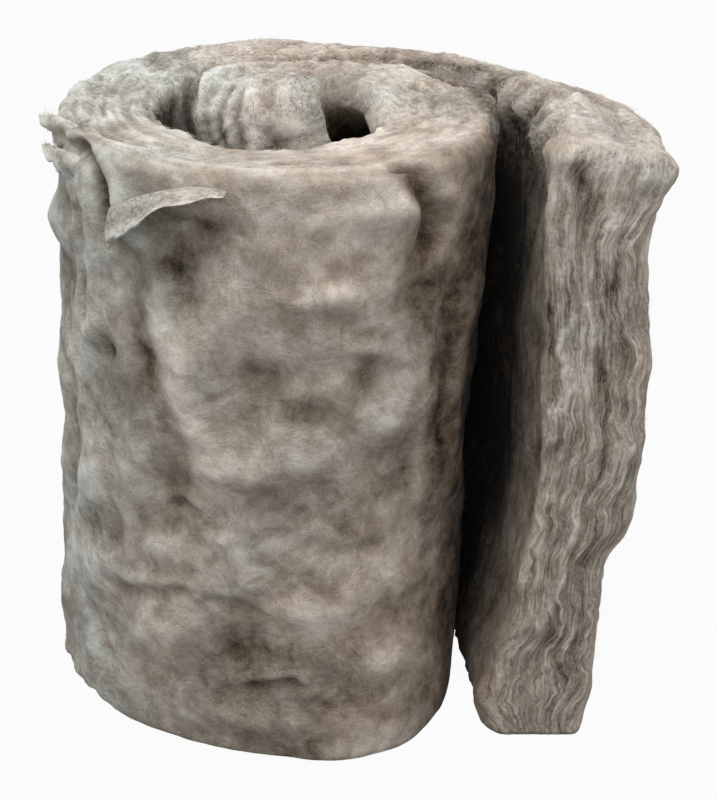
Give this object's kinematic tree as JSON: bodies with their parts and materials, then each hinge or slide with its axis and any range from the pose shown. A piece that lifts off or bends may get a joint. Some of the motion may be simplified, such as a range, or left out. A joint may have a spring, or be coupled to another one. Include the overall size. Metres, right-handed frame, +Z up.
{
  "type": "mineral wool insulation roll",
  "caption": "Cut length of soft brown-grey mineral wool batt, rolled up and standing on its end with its loose tail hanging away, for insulating lofts and walls.",
  "frame": {"origin": "middle of the footprint's box, on the floor", "axes": "+Z up along the roll, from the end it stands on; -Y to the front, where the tail's cut end faces; +X towards the tail"},
  "size_m": [0.5758, 0.4576, 0.57],
  "materials": {
    "mineral_wool": "soft matt fibrous wool, brown-grey with paler fibres"
  },
  "bodies": {
    "root": {"wool_batt": "mineral_wool"}
  },
  "joints": []
}
